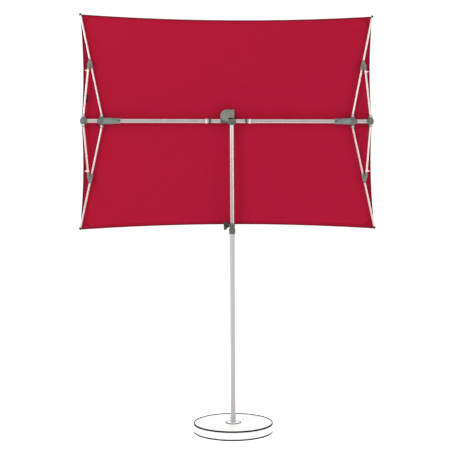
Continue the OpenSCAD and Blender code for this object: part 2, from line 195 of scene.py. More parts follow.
# Each corner's side and height: left and down are -1.
CORNERS = {
    "upper_left": (-1, 1),
    "lower_left": (-1, -1),
    "upper_right": (1, 1),
    "lower_right": (1, -1),
}
SIDES = ("left", "right")


def middle(node):
    """Centre of a frame part's box."""
    low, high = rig.box(node)
    return (low + high) / 2


ROOF_LOW, ROOF_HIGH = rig.box("canopy")
SPINE = middle("spine_tube")
ROOF_HALF_W = (ROOF_HIGH.x - ROOF_LOW.x) / 2
ROOF_HALF_H = (ROOF_HIGH.z - ROOF_LOW.z) / 2
ROOF_FRONT = ROOF_LOW.y
FRONT = Vector((0, -1, 0))
WHITE = (1.0, 1.0, 1.0, 1.0)

# Cloth, in metres unless it is a share.
FOLDED_SHARE = 0.262        # of the roof's height that is left when it is folded
CLOTH_SHARE = 0.955         # of the flat rectangle that the curved edges leave
CLOTH_THICKNESS = 0.0008
CLOTH_GAP = 0.0012          # behind the front of the frame's roof
FOLD_DEPTH = 0.0022         # of the small folds at the corners
FOLD_REACH = 0.22
FOLD_START = 0.05
SWAY_DEPTH = 0.0008
THREAD_PITCH = 0.0011
THREAD_DEPTH = 0.00012
FADING = 0.24
STITCH_LENGTH = 0.0032
STITCH_WIDTH = 0.0007
HEM_SEAM_INSET = 0.003      # from the hem's inner edge
TAPE_SEAM_SHARE = 0.7       # of the tape's width
PATCH_INSET = 0.003         # from the roof's edge
PATCH_SEAM_INSET = 0.007
PATCH_LIFT = 0.0013
PATCH_THICKNESS = 0.0007
BAND_THICKNESS = 0.0004
PATCH_FACES = 16
EDGE_FACES = 480            # round the roof
LAST_PLACE = 0.99999        # just short of a full turn round the roof

# Mouldings.
SHARP = math.radians(32)    # a blunter edge is shaded smooth
FLAT = math.radians(0.4)    # faces closer to level than this are joined
WELD = 2e-6

FLOOR_HALF_SIZE = 60        # metres


# ---------------------------------------------------------------- sizes and colours

class ParasolCloth(bpy.types.PropertyGroup):
    """The roof cloth, its edges and its stitching."""
    colour: FloatVectorProperty(
        name="Cloth colour", description="Colour of the roof cloth",
        subtype="COLOR", default=(0.365, 0.0048, 0.027), min=0, max=1)
    binding: FloatVectorProperty(
        name="Binding colour", description="Colour of the tape on the long edges",
        subtype="COLOR", default=(0.170, 0.0025, 0.011), min=0, max=1)
    # Darker than the long edges' tape: the tape's own dark red plus painted shadow of the struts beside the short
    # edges.
    selvage: FloatVectorProperty(
        name="Selvage colour", description="Colour of the tape on the short edges",
        subtype="COLOR", default=(0.120, 0.0020, 0.008), min=0, max=1)
    long_sag: FloatProperty(
        name="Long edge curve", description="How far the long edges curve in",
        default=0.035, min=0.01, max=0.06, unit="LENGTH")
    short_sag: FloatProperty(
        name="Short edge curve", description="How far each half of a short edge curves in",
        default=0.018, min=0.002, max=0.03, unit="LENGTH")
    spine_dip: FloatProperty(
        name="Spine inset", description="How much narrower the roof is at the spine",
        default=0.011, min=0.0, max=0.02, unit="LENGTH")
    billow: FloatProperty(
        name="Billow", description="How far each half of the cloth swells backward",
        default=0.016, min=0, max=0.04, unit="LENGTH")
    hem: FloatProperty(
        name="Hem width", description="Width of the folded hem",
        default=0.022, min=0.01, max=0.05, unit="LENGTH")
    tape: FloatProperty(
        name="Tape width", description="Width of the binding tape on the edge",
        default=0.008, min=0.004, max=0.02, unit="LENGTH")
    patch: FloatProperty(
        name="Corner patch", description="Reach of the corner reinforcements",
        default=0.092, min=0.05, max=0.15, unit="LENGTH")
    stitch: FloatProperty(
        name="Stitch pitch", description="Distance between stitches",
        default=0.0045, min=0.003, max=0.01, unit="LENGTH")
    columns: IntProperty(
        name="Columns", description="Cloth faces across the roof", default=192, min=40, max=400)
    rows: IntProperty(
        name="Rows", description="Cloth faces down the roof", default=144, min=40, max=300)


class ParasolFittings(bpy.types.PropertyGroup):
    """Moulded plastic, metal and rubber."""
    grey: FloatVectorProperty(
        name="Grey plastic", description="Colour of the tilt housing, yokes and strut tips",
        subtype="COLOR", default=(0.180, 0.192, 0.166), min=0, max=1)
    grip: FloatVectorProperty(
        name="Grip plastic", description="Colour of the grips",
        subtype="COLOR", default=(0.175, 0.195, 0.190), min=0, max=1)
    dark: FloatVectorProperty(
        name="Dark plastic", description="Colour of the caps, plugs and buttons",
        subtype="COLOR", default=(0.020, 0.021, 0.021), min=0, max=1)
    knob: FloatVectorProperty(
        name="Knob plastic", description="Colour of the clamp knob",
        subtype="COLOR", default=(0.012, 0.012, 0.012), min=0, max=1)
    pale: FloatVectorProperty(
        name="Pale plastic", description="Colour of the stop rings and hooks",
        subtype="COLOR", default=(0.72, 0.64, 0.62), min=0, max=1)
    silver: FloatVectorProperty(
        name="Aluminium", description="Colour of the pole, mast and spine",
        subtype="COLOR", default=(0.49, 0.475, 0.475), min=0, max=1)
    rib: FloatVectorProperty(
        name="Rib aluminium", description="Colour of the brighter ribs and struts",
        subtype="COLOR", default=(0.86, 0.78, 0.77), min=0, max=1)
    hub: FloatVectorProperty(
        name="Joint plastic", description="Colour of the end hubs, runners and pole head",
        subtype="COLOR", default=(0.125, 0.133, 0.115), min=0, max=1)
    collar: FloatVectorProperty(
        name="Clamp plastic", description="Colour of the clamp collar and, darker, spine collars",
        subtype="COLOR", default=(0.100, 0.105, 0.095), min=0, max=1)
    edge: FloatProperty(
        name="Moulding radius", description="Radius of the moulded edges",
        default=0.0009, min=0.0002, max=0.002, unit="LENGTH")


class ParasolBase(bpy.types.PropertyGroup):
    """The weighted base."""
    stone: FloatVectorProperty(
        name="Slab colour", description="Colour of the cast slab and socket",
        subtype="COLOR", default=(0.86, 0.86, 0.85), min=0, max=1)


class ParasolStage(bpy.types.PropertyGroup):
    """Floor, light and camera."""
    place: FloatVectorProperty(
        name="Camera place", description="Where the camera stands",
        subtype="TRANSLATION", default=(-0.253, -5.311, 1.312))
    pitch: FloatProperty(
        name="Camera pitch", description="How far the camera looks up",
        subtype="ANGLE", default=math.radians(1.591))
    heading: FloatProperty(
        name="Camera heading", description="How far the camera turns to the right",
        subtype="ANGLE", default=math.radians(2.3245))
    roll: FloatProperty(
        name="Camera roll", description="How far the camera leans",
        subtype="ANGLE", default=math.radians(-0.2925))
    lens: FloatProperty(
        name="Lens", description="Focal length in millimetres", default=58.49, min=20, max=200)
    floor: FloatVectorProperty(
        name="Floor colour", description="Colour of the floor",
        subtype="COLOR", default=(0.88, 0.88, 0.88), min=0, max=1)
    glow: FloatProperty(
        name="Floor glow", description="Light the floor gives, so that it stays white",
        default=0.60, min=0, max=2)


# ---------------------------------------------------------------- shader maths

class Signal:
    """A node's output socket that Python's arithmetic works on."""

    def __init__(self, paint, socket):
        self.paint = paint
        self.socket = socket

    def __add__(self, other):
        return self.paint.maths("ADD", self, other)

    def __sub__(self, other):
        return self.paint.maths("SUBTRACT", self, other)

    def __rsub__(self, other):
        return self.paint.maths("SUBTRACT", other, self)

    def __mul__(self, other):
        return self.paint.maths("MULTIPLY", self, other)

    def __truediv__(self, other):
        return self.paint.maths("DIVIDE", self, other)


class Nodes:
    """The nodes of one material or world."""

    def __init__(self, tree):
        self.tree = tree

    def node(self, kind, settings=None, inputs=None, output=0):
        """Adds a node with its settings, then its input values or links, and returns one output."""
        made = self.tree.nodes.new(kind)
        for key, value in (settings or {}).items():
            if key == "stops":
                ramp = made.color_ramp
                while len(ramp.elements) < len(value):
                    ramp.elements.new(0.5)
                for element, (place, colour) in zip(ramp.elements, value):
                    element.position = place
                    element.color = colour
            else:
                setattr(made, key, value)
        for key, value in (inputs or {}).items():
            self.feed(made.inputs[key], value)
        return Signal(self, made.outputs[output])

    def feed(self, socket, value):
        """Links a signal to an input, or sets the input to a constant."""
        if isinstance(value, Signal):
            self.tree.links.new(value.socket, socket)
        else:
            socket.default_value = value

    def maths(self, operation, a, b=0.0):
        return self.node("ShaderNodeMath", {"operation": operation}, {0: a, 1: b})

    def step(self, value, low, high):
        """0 below low, 1 above high, smooth between."""
        settings = {"interpolation_type": "SMOOTHSTEP"}
        inputs = {"Value": value, "From Min": low, "From Max": high}
        return self.node("ShaderNodeMapRange", settings, inputs)

    def mix(self, share, a, b):
        """Colour between a and b."""
        colours = [c if isinstance(c, Signal) else (*c[:3], 1.0) for c in (a, b)]
        inputs = {0: share, 6: colours[0], 7: colours[1]}
        return self.node("ShaderNodeMix", {"data_type": "RGBA"}, inputs, output=2)

    def place(self, scale=(1, 1, 1), source="Object"):
        """Coordinates of the piece, scaled; UV is in metres on cloth and tape."""
        coordinate = self.node("ShaderNodeTexCoord", output=source)
        return self.node("ShaderNodeMapping", inputs={"Vector": coordinate, "Scale": scale})

    def axis(self, vector, index):
        """One component of a vector."""
        return self.node("ShaderNodeSeparateXYZ", inputs={0: vector}, output=index)

    def wave(self, along):
        """Sine of a signal, from 0 to 1."""
        return self.maths("SINE", along) * 0.5 + 0.5

    def noise(self, vector, scale, detail=3.0, roughness=0.55):
        inputs = {"Vector": vector, "Scale": scale, "Detail": detail, "Roughness": roughness}
        return self.node("ShaderNodeTexNoise", inputs=inputs)

    def dots(self, scale, low, high):
        """Scattered dots, 1 inside and 0 outside, whose edges fade from low to high."""
        inputs = {"Vector": self.place(), "Scale": scale}
        cells = self.node("ShaderNodeTexVoronoi", {"feature": "F1"}, inputs)
        return 1 - self.step(cells, low, high)

    def bump(self, height, distance, strength=1.0, under=None):
        inputs = {"Height": height, "Distance": distance, "Strength": strength}
        if under is not None:
            inputs["Normal"] = under
        return self.node("ShaderNodeBump", inputs=inputs)


class Paint(Nodes):
    """One material and the nodes behind its shader."""

    def __init__(self, name, **constants):
        self.material = bpy.data.materials.new(name)
        self.material.use_nodes = True
        super().__init__(self.material.node_tree)
        self.shader = self.tree.nodes["Principled BSDF"]
        for socket, value in constants.items():
            self.shader.inputs[socket.replace("_", " ")].default_value = value

    def finish(self, **links):
        """Links what varies over the surface and returns the material."""
        for socket, value in links.items():
            self.feed(self.shader.inputs[socket.replace("_", " ")], value)
        return self.material


def tinted(colour, factor):
    """A lighter or darker colour."""
    return tuple(min(1.0, channel * factor) for channel in colour[:3])


MATERIALS = {}


def finish_of(name):
    """Makes each finish once, when a piece first asks for it."""
    if name not in MATERIALS:
        MATERIALS[name] = globals()["make_" + name]()
    return MATERIALS[name]


def sizes(group):
    """The settings of one group: cloth, fittings, base or stage."""
    return getattr(bpy.context.scene, "parasol_" + group)


# ---------------------------------------------------------------- finishes

def woven(name, colour, sheen=0.06):
    """Plain-weave cloth on a UV map in metres: threads over and under, slubs and faint fading."""
    paint = Paint(name, Roughness=0.82, Sheen_Weight=sheen, Sheen_Roughness=0.45,
                  Specular_IOR_Level=0.04 + sheen)
    paint.shader.inputs["Sheen Tint"].default_value = (*tinted(colour, 1.6), 1.0)
    thread = paint.place(source="UV")
    u, v = paint.axis(thread, 0), paint.axis(thread, 1)
    warp = paint.wave(u * (TAU / THREAD_PITCH))
    weft = paint.wave(v * (TAU / THREAD_PITCH))
    over = paint.wave((u + v) * (math.pi / THREAD_PITCH))
    weave = paint.maths("MAXIMUM", warp * over, weft * (1 - over))
    slub = paint.noise(paint.place(scale=(900, 14, 1), source="UV"), scale=1.0, detail=2.0)
    cross_slub = paint.noise(paint.place(scale=(14, 900, 1), source="UV"), scale=1.0, detail=2.0)
    cloud = paint.noise(thread, scale=2.6, detail=4.0)
    tone = weave * 0.10 + (slub + cross_slub) * 0.16 + cloud * FADING
    worn = paint.mix(tone, tinted(colour, 0.86), tinted(colour, 1.16))
    crease = paint.noise(thread, scale=9.0, detail=5.0, roughness=0.6)
    normal = paint.bump(crease, distance=0.004, strength=0.16)
    normal = paint.bump(weave, distance=THREAD_DEPTH, strength=0.7, under=normal)
    return paint, worn, weave, normal, u, v


def make_roof_cloth():
    paint, worn, weave, normal, _, _ = woven("roof_cloth", sizes("cloth").colour)
    return paint.finish(Base_Color=worn, Roughness=0.90 - weave * 0.14, Normal=normal)


def stitched(name, colour, rows, sheen=0.06, turned=0.0):
    """Cloth tape whose UV runs along it in metres, with rows of stitches at given distances across.

    The edge at v = 0 is turned under, and painted shade of the fold darkens it over the width given."""
    paint, worn, weave, normal, u, v = woven(name, colour, sheen)
    if turned:
        # Painted shade of the fold: the turned edge is darkened to half the cloth's colour.
        worn = paint.mix(paint.step(v, turned * 0.5, turned), tinted(colour, 0.50), worn)
    pitch = sizes("cloth").stitch
    along = paint.maths("FRACT", u / pitch) * pitch
    soft = 0.0006
    end = paint.step(along, STITCH_LENGTH - soft, STITCH_LENGTH)
    dash = paint.step(along, 0.0, soft) * (1 - end)
    thread = 0.0
    for row in rows:
        off = paint.maths("ABSOLUTE", v - row)
        thread = dash * (1 - paint.step(off, 0.0003, 0.0008)) + thread
    worn = paint.mix(thread, worn, tinted(colour, 0.55))
    sunk = paint.bump(thread * -1, distance=0.0006, strength=0.8, under=normal)
    return paint.finish(Base_Color=worn, Roughness=0.88 - thread * 0.2, Normal=sunk)


def make_hem_cloth():
    cloth = sizes("cloth")
    return stitched("hem_cloth", tinted(cloth.colour, 0.98), [cloth.hem - HEM_SEAM_INSET])


def make_patch_cloth():
    colour = tinted(sizes("cloth").colour, 0.86)
    # A 4.5 mm band of painted fold shade darkens the patch's seam edge.
    return stitched("patch_cloth", colour, [PATCH_SEAM_INSET], turned=0.0045)


def make_binding_tape():
    cloth = sizes("cloth")
    return stitched("binding_tape", cloth.binding, [cloth.tape * TAPE_SEAM_SHARE], sheen=0.0)


def make_selvage_tape():
    cloth = sizes("cloth")
    # This tape is darker than the long edges' tape because painted strut shadow is added to its colour.
    return stitched("selvage_tape", cloth.selvage, [cloth.tape * TAPE_SEAM_SHARE], sheen=0.0)


def make_thread():
    """Twisted sewing thread, with a turn every 1.5 mm."""
    paint = Paint("thread", Roughness=0.6, Sheen_Weight=0.3, Specular_IOR_Level=0.35)
    place = paint.place()
    twist = paint.maths("SINE", paint.axis(place, 0) * 4200 + paint.axis(place, 2) * 4200)
    colour = tinted(sizes("cloth").colour, 0.62)
    tone = paint.mix(twist * 0.5 + 0.5, tinted(colour, 0.7), tinted(colour, 1.3))
    normal = paint.bump(twist, distance=0.0001, strength=0.6)
    return paint.finish(Base_Color=tone, Normal=normal)


def make_black_webbing():
    """Ribbed black tape: cords along it and a rib every 2 mm, a little dusty."""
    paint = Paint("black_webbing", Sheen_Weight=0.1, Specular_IOR_Level=0.2)
    place = paint.place()
    ribs = paint.wave(paint.axis(place, 2) * (TAU / 0.002))
    cords = paint.wave(paint.axis(place, 0) * (TAU / 0.0012))
    fuzz = paint.noise(place, scale=800.0, detail=3.0, roughness=0.7)
    tone = paint.mix(fuzz * 0.6 + ribs * 0.4, (0.006, 0.006, 0.006), (0.022, 0.022, 0.023))
    normal = paint.bump(ribs * 0.7 + cords * 0.3, distance=0.0003, strength=0.6)
    return paint.finish(Base_Color=tone, Roughness=0.85 - ribs * 0.15, Normal=normal)


def drawn_tube(name, along, roughness, colour, metallic):
    """Anodised tube: die lines along an axis, fine scuffs across it and a slightly uneven satin."""
    paint = Paint(name, Metallic=metallic, Anisotropic=0.25, Specular_IOR_Level=0.3)
    lengthwise = [420.0, 420.0, 420.0]
    lengthwise[along] = 1.6
    line = paint.noise(paint.place(scale=tuple(lengthwise)), scale=1.0, detail=3.0, roughness=0.7)
    crosswise = [60.0, 60.0, 60.0]
    crosswise[along] = 900.0
    scuff = paint.noise(paint.place(scale=tuple(crosswise)), scale=1.0, detail=2.0)
    scuff = paint.step(scuff, 0.66, 0.78)
    patch = paint.noise(paint.place(), scale=4.0, detail=3.0)
    tone = paint.mix(line * 0.55 + patch * 0.45, tinted(colour, 0.86), tinted(colour, 1.10))
    rough = line * 0.10 + patch * 0.10 + scuff * 0.08 + (roughness - 0.08)
    normal = paint.bump(line, distance=0.00006, strength=0.5)
    return paint.finish(Base_Color=tone, Roughness=rough, Normal=normal)


def make_pole_tube():
    silver = tinted(sizes("fittings").silver, 1.14)
    return drawn_tube("pole_tube", along=2, roughness=0.55, colour=silver, metallic=0.35)


def make_upright_tube():
    silver = tinted(sizes("fittings").silver, 1.42)
    return drawn_tube("upright_tube", along=2, roughness=0.26, colour=silver, metallic=0.8)


def make_level_tube():
    silver = tinted(sizes("fittings").silver, 1.46)
    return drawn_tube("level_tube", along=0, roughness=0.26, colour=silver, metallic=0.78)


def make_rib_tube():
    silver = sizes("fittings").rib
    return drawn_tube("rib_tube", along=2, roughness=0.36, colour=silver, metallic=0.7)


def moulded_plastic(name, colour, roughness, grain=0.00008, coat=0.0):
    """Spark-textured moulding: fine grain, soft flow marks and paler rubbed patches."""
    paint = Paint(name, Specular_IOR_Level=0.45, Coat_Weight=coat, Coat_Roughness=0.3)
    speck = paint.noise(paint.place(), scale=1900.0, detail=2.0, roughness=0.6)
    flow = paint.noise(paint.place(scale=(1, 1, 2.2)), scale=26.0, detail=3.0)
    rubbed = paint.noise(paint.place(), scale=60.0, detail=4.0, roughness=0.65)
    rubbed = paint.step(rubbed, 0.56, 0.72)
    tone = paint.mix(flow * 0.7 + speck * 0.3, tinted(colour, 0.84), tinted(colour, 1.14))
    tone = paint.mix(rubbed * 0.22, tone, tinted(colour, 1.45))
    rough = speck * 0.12 + flow * 0.10 - rubbed * 0.10 + (roughness - 0.08)
    normal = paint.bump(speck, distance=grain, strength=0.7)
    return paint.finish(Base_Color=tone, Roughness=rough, Normal=normal)


def make_grey_plastic():
    return moulded_plastic("grey_plastic", sizes("fittings").grey, 0.46)


def make_hub_plastic():
    return moulded_plastic("hub_plastic", sizes("fittings").hub, 0.38)


def make_clamp_plastic():
    return moulded_plastic("clamp_plastic", sizes("fittings").collar, 0.36)


def make_collar_plastic():
    return moulded_plastic("collar_plastic", tinted(sizes("fittings").collar, 0.7), 0.45)


def make_grip_plastic():
    return moulded_plastic("grip_plastic", sizes("fittings").grip, 0.55, grain=0.00014)


def make_dark_plastic():
    return moulded_plastic("dark_plastic", sizes("fittings").dark, 0.42, coat=0.1)


def make_knob_plastic():
    return moulded_plastic("knob_plastic", sizes("fittings").knob, 0.18, grain=0.00004, coat=0.9)


def make_pale_plastic():
    return moulded_plastic("pale_plastic", sizes("fittings").pale, 0.40)


def turned_steel(name, tint, metallic):
    """Turned steel: rings of tool marks round each head and a few dark specks."""
    paint = Paint(name, Metallic=metallic, Specular_IOR_Level=0.5)
    mark = paint.noise(paint.place(scale=(1400, 90, 1400)), scale=1.0, detail=2.0)
    stain = paint.step(paint.noise(paint.place(), scale=240.0, detail=3.0), 0.60, 0.75)
    tone = paint.mix(mark, tinted((0.50, 0.50, 0.50), tint), tinted((0.68, 0.68, 0.67), tint))
    tone = paint.mix(stain * 0.35, tone, (0.20, 0.17, 0.14))
    rough = mark * 0.2 + stain * 0.2 + 0.22
    normal = paint.bump(mark, distance=0.00005, strength=0.5)
    return paint.finish(Base_Color=tone, Roughness=rough, Normal=normal)


def make_steel():
    return turned_steel("steel", tint=1.0, metallic=1.0)


def make_plated_steel():
    return turned_steel("plated_steel", tint=1.3, metallic=0.35)


def make_foot_rubber():
    """Matt black rubber with a fine grain and a little dust."""
    paint = Paint("foot_rubber", Specular_IOR_Level=0.06)
    grain = paint.noise(paint.place(), scale=700.0, detail=4.0, roughness=0.7)
    dust = paint.step(paint.noise(paint.place(), scale=14.0, detail=4.0), 0.50, 0.75)
    tone = paint.mix(dust * 0.4, (0.008, 0.008, 0.009), (0.030, 0.029, 0.027))
    normal = paint.bump(grain, distance=0.0002, strength=0.7)
    return paint.finish(Base_Color=tone, Roughness=grain * 0.15 + 0.72, Normal=normal)


def make_cast_stone():
    """Pale cast slab: fine sand, sparse darker aggregate, pin holes and slow clouding."""
    colour = sizes("base").stone
    paint = Paint("cast_stone", Specular_IOR_Level=0.35)
    sand = paint.noise(paint.place(), scale=620.0, detail=4.0, roughness=0.7)
    cloud = paint.noise(paint.place(), scale=5.0, detail=4.0)
    fleck = paint.dots(210.0, 0.10, 0.22)
    pore = paint.dots(75.0, 0.03, 0.07)
    tone = paint.mix(cloud * 0.6 + sand * 0.4, tinted(colour, 0.95), tinted(colour, 1.06))
    tone = paint.mix(fleck * 0.12, tone, tinted(colour, 0.62))
    tone = paint.mix(pore * 0.30, tone, tinted(colour, 0.45))
    normal = paint.bump(sand, distance=0.00025, strength=0.5)
    normal = paint.bump(1 - pore, distance=0.0006, strength=0.6, under=normal)
    return paint.finish(Base_Color=tone, Roughness=sand * 0.2 + 0.52, Normal=normal)


def make_studio_floor():
    """Pale, faintly clouded floor that glows enough to stay white."""
    stage = sizes("stage")
    paint = Paint("studio_floor", Specular_IOR_Level=0.1, Emission_Strength=stage.glow)
    paint.shader.inputs["Emission Color"].default_value = WHITE
    cloud = paint.noise(paint.place(), scale=0.6, detail=3.0)
    tone = paint.mix(cloud, tinted(stage.floor, 0.99), tinted(stage.floor, 1.01))
    return paint.finish(Base_Color=tone, Roughness=cloud * 0.1 + 0.8)


# ---------------------------------------------------------------- making and joining pieces

def new_piece(name, bm, finish, body, slot, second=None):
    """Turns a bmesh into a piece that rides on a body; second is a second finish's name."""
    mesh = bpy.data.meshes.new(name)
    bm.to_mesh(mesh)
    bm.free()
    mesh.polygons.foreach_set("use_smooth", [True] * len(mesh.polygons))
    for each in [finish, second] if second else [finish]:
        mesh.materials.append(finish_of(each))
    piece = bpy.data.objects.new(name, mesh)
    bpy.context.scene.collection.objects.link(piece)
    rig.ride(piece, body)
    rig.slot(piece, slot)
    return piece


def cloth_grid(across, along, place, closed=False):
    """A grid of across by along faces whose corners place(u, v) puts, u and v from 0 to 1.

    place returns a point and its position on the cloth in metres, kept as the UV map.
    closed joins the last row of faces to the first."""
    bm = bmesh.new()
    bmesh.ops.create_grid(bm, x_segments=across, y_segments=along, size=0.5)
    uv = bm.loops.layers.uv.new("cloth")
    spots = {}
    for vertex in bm.verts:
        u, v = vertex.co.x + 0.5, vertex.co.y + 0.5
        spots[vertex.index] = place(u, v)
    for face in bm.faces:
        for loop in face.loops:
            loop[uv].uv = spots[loop.vert.index][1]
    for vertex in bm.verts:
        vertex.co = spots[vertex.index][0]
    if closed:
        bmesh.ops.remove_doubles(bm, verts=bm.verts, dist=1e-6)
    return bm


def facing(bm, direction):
    """Turns an open sheet so that it faces a direction."""
    total = Vector()
    for face in bm.faces:
        total += face.normal * face.calc_area()
    if total.dot(direction) < 0:
        bmesh.ops.reverse_faces(bm, faces=bm.faces)


def thicken(piece, thickness, offset=0.0):
    """Gives a sheet its thickness, half to each side, or all to one side at offset 1."""
    solid = piece.modifiers.new("thickness", "SOLIDIFY")
    solid.thickness = thickness
    solid.offset = offset
    solid.use_even_offset = True
    return piece


def keep_sharp(bm):
    """Shades an edge smooth unless its faces meet at more than SHARP."""
    for edge in bm.edges:
        edge.smooth = not (edge.is_manifold and edge.calc_face_angle(0) > SHARP)


def moulded(node, finish, edge=None, segments=2):
    """A frame part's own shape with its sharp edges rounded, as a moulding has them."""
    edge = edge or sizes("fittings").edge
    source = frame["nodes"][node]
    bm = bmesh.new()
    bm.from_mesh(source.data)
    bmesh.ops.remove_doubles(bm, verts=bm.verts, dist=WELD)
    bmesh.ops.dissolve_limit(bm, angle_limit=FLAT, verts=bm.verts, edges=bm.edges)
    edges = [e for e in bm.edges if e.is_manifold and e.calc_face_angle(0) > SHARP]
    bmesh.ops.bevel(bm, geom=edges, offset=edge, offset_type="OFFSET", affect="EDGES",
                    segments=segments, profile=0.5, material=-1, clamp_overlap=True)
    keep_sharp(bm)
    body = source["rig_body"]
    slot = next(s["material_slot"] for s in frame["record"]["subparts"] if s["node"] == node)
    piece = new_piece(node + "_moulded", bm, finish, body, slot)
    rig.replaces(piece, node)
    return piece


def dress(node, finish):
    """Gives a frame part a finish of its own, in place of its plain one."""
    mesh = frame["nodes"][node].data
    mesh.materials.clear()
    mesh.materials.append(finish_of(finish))


# ---------------------------------------------------------------- the roof

def pull_folds(a, b):
    """Small folds that fan out from each corner, where the cloth is pulled."""
    pull = 0.0
    for side, up in ((-1, -1), (-1, 1), (1, -1), (1, 1)):
        dx, dz = (side - a) * ROOF_HALF_W, (up - b) * ROOF_HALF_H
        reach = math.hypot(dx, dz)
        spread = math.atan2(abs(dz), abs(dx))
        near = math.exp(-reach / FOLD_REACH) * min(1.0, reach / FOLD_START)
        pull += FOLD_DEPTH * near * math.sin(spread * 14) * math.sin(spread * 2)
    return pull


def sway(a, b):
    """Slow unevenness of the stretched cloth, none at its edges."""
    free = (1 - a * a) * (1 - b * b)
    return SWAY_DEPTH * math.sin(7.1 * a + 2.3 * b) * math.cos(3.7 * b - 1.1 * a) * free


def roof_point(a, b, lift=0.0):
    """Point on the cloth for a and b from -1 to 1, moved towards the front by lift."""
    cloth = sizes("cloth")
    rise = abs(b)
    x = a * (ROOF_HALF_W - cloth.spine_dip * (1 - rise) - 4 * cloth.short_sag * rise * (1 - rise))
    z = b * (ROOF_HALF_H - cloth.long_sag * (1 - a * a))
    swell = math.sin(math.pi * min(1, rise * 0.98 + 0.01)) ** 0.8 * (1 - a ** 4)
    y = ROOF_FRONT + CLOTH_GAP + cloth.billow * swell + pull_folds(a, b) + sway(a, b)
    return Vector((SPINE.x + x, y - lift, SPINE.z + z))


def on_cloth(point):
    """A point's place on the cloth, in metres from its middle."""
    return (point.x - SPINE.x, point.z - SPINE.z)


def ring_place(t, inward):
    """a and b for a place t of the way round the roof, and a distance in from its edge."""
    side, s = int(t * 4) % 4, t * 4 - int(t * 4)
    a_in = 1 - inward / ROOF_HALF_W
    b_in = 1 - inward / ROOF_HALF_H
    run = 2 * s - 1
    places = [(run * a_in, b_in), (a_in, -run * b_in), (-run * a_in, -b_in), (-a_in, run * b_in)]
    return places[side]


def ring_length(t):
    """Metres along the edge, from the upper left corner."""
    side, s = int(t * 4), t * 4 - int(t * 4)
    runs = [2 * ROOF_HALF_W, 2 * ROOF_HALF_H] * 2
    return sum(runs[:side]) + (runs[side] * s if side < 4 else 0)


def folded(piece):
    """Cloth gathers towards the spine as the ribs fold."""
    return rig.squash(piece, "fold", axis=(0, 0, 1), anchor=tuple(SPINE), keep=FOLDED_SHARE)


def edge_band(name, finish, width, lift, second=None):
    """A tape folded over the roof's edge: out along the front, round the edge and in at the back.

    lift is its distance from the cloth's middle on either face. second is the finish of the
    short edges, where it differs."""
    # How far in each line of the tape lies, which face it is on, and its distance across the tape.
    fold = [(width, -1, 0.0), (width * 0.6, -1, 0.4), (0.0, -1, 1.0), (-0.0006, 0, 1.02),
            (0.0, 1, 1.04), (width * 0.6, 1, 1.64), (width, 1, 2.04)]
    unfolded = fold[-1][2] * width

    def place(u, v):
        inward, side, share = fold[round(u * (len(fold) - 1))]
        point = roof_point(*ring_place(v % 1.0, inward), lift=-side * lift)
        across = share * width
        return point, (ring_length(v), across if across <= width else unfolded - across)

    bm = cloth_grid(len(fold) - 1, EDGE_FACES, place, closed=True)
    bmesh.ops.recalc_face_normals(bm, faces=bm.faces)
    if second:
        for face in bm.faces:
            spot = face.calc_center_median() - SPINE
            face.material_index = int(abs(spot.x) / ROOF_HALF_W > abs(spot.z) / ROOF_HALF_H)
    piece = new_piece(name, bm, finish, "head", "roof_fabric", second)
    return folded(thicken(piece, BAND_THICKNESS, 1.0))


def corner_patch(corner):
    """Three-cornered reinforcement sewn on the front of a corner."""
    side, up = CORNERS[corner]
    cloth = sizes("cloth")

    start = cloth.hem * 0.4

    def place(u, v):
        """u runs from the corner to the bowed seam, v along the seam."""
        reach = start + (cloth.patch - start) * u
        bow = 1 - 0.5 * v * (1 - v)
        a = side * (1 - (PATCH_INSET + reach * bow * v) / ROOF_HALF_W)
        b = up * (1 - (PATCH_INSET + reach * bow * (1 - v)) / ROOF_HALF_H)
        rim = (1 - u) * cloth.patch * 0.7
        return roof_point(a, b, lift=PATCH_LIFT), (v * cloth.patch * 1.4, rim)

    bm = cloth_grid(PATCH_FACES, PATCH_FACES, place)
    facing(bm, FRONT)
    piece = new_piece("corner_patch_" + corner, bm, "patch_cloth", "head", "roof_fabric")
    return folded(thicken(piece, PATCH_THICKNESS, 1.0))


def stitch_row(name, spots):
    """Short stitches lying on the cloth; spots gives each one's middle and direction."""
    bm = bmesh.new()
    size = Matrix.Diagonal((STITCH_LENGTH, STITCH_WIDTH, STITCH_WIDTH, 1.0))
    for point, along in spots:
        turn = along.to_track_quat("X", "Y").to_matrix().to_4x4()
        shape = Matrix.Translation(point) @ turn @ size
        bmesh.ops.create_icosphere(bm, subdivisions=1, radius=0.5, matrix=shape)
    return folded(new_piece(name, bm, "thread", "head", "roof_fabric"))


def edge_stitches(inward, lift):
    """Middle and direction of each stitch in a row all round the roof."""
    count = int(ring_length(1.0) / sizes("cloth").stitch)
    nudge = 0.2 / count
    spots = []
    for i in range(count):
        t = (i + 0.5) / count
        here = roof_point(*ring_place(t, inward), lift=lift)
        ahead = roof_point(*ring_place(min(t + nudge, LAST_PLACE), inward), lift=lift)
        behind = roof_point(*ring_place(max(t - nudge, 0.0), inward), lift=lift)
        spots.append((here, ahead - behind))
    return spots


# ---------------------------------------------------------------- operators

